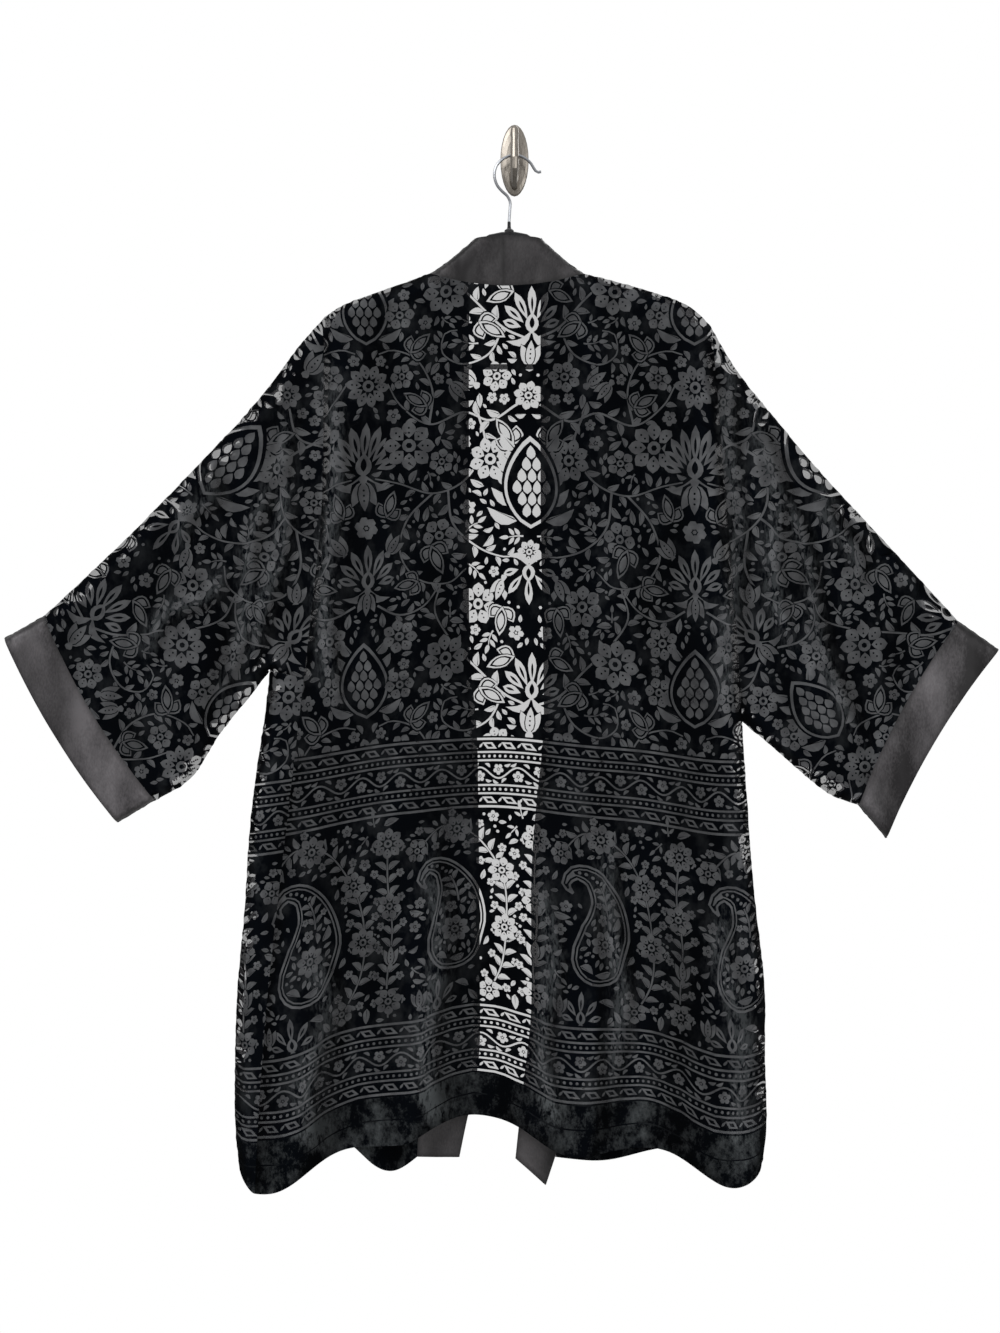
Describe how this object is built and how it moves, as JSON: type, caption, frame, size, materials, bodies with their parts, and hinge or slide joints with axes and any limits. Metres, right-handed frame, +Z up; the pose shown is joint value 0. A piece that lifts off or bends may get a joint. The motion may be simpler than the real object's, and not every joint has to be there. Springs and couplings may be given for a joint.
{
  "type": "kimono robe on a hanger and wall hook",
  "caption": "Open kimono robe with wide sleeves, a satin neck band and satin cuffs, hung flat on a slim hanger from an oval wall hook.",
  "frame": {"origin": "middle of the wall hook's flat back face, on the wall plane", "axes": "+Z up, +Y into the wall, +X to the right when facing the wall. The robe's back faces -Y"},
  "size_m": [1.1458, 0.0425, 1.2344],
  "materials": {
    "velvet": "black burnout velvet",
    "satin": "charcoal satin",
    "hanger_flock": "black flocked plastic",
    "chrome_wire": "polished chrome",
    "satin_nickel": "satin nickel"
  },
  "bodies": {
    "root": {"back": "velvet", "front_left": "velvet", "front_right": "velvet", "sleeve_left": "velvet", "sleeve_right": "velvet", "cuff_left": "satin", "cuff_right": "satin", "neck_band_left": "satin", "neck_band_right": "satin", "hanger_frame": "hanger_flock", "hanger_collar": "hanger_flock", "hanger_wire": "chrome_wire", "wall_hook": "satin_nickel"}
  },
  "joints": []
}
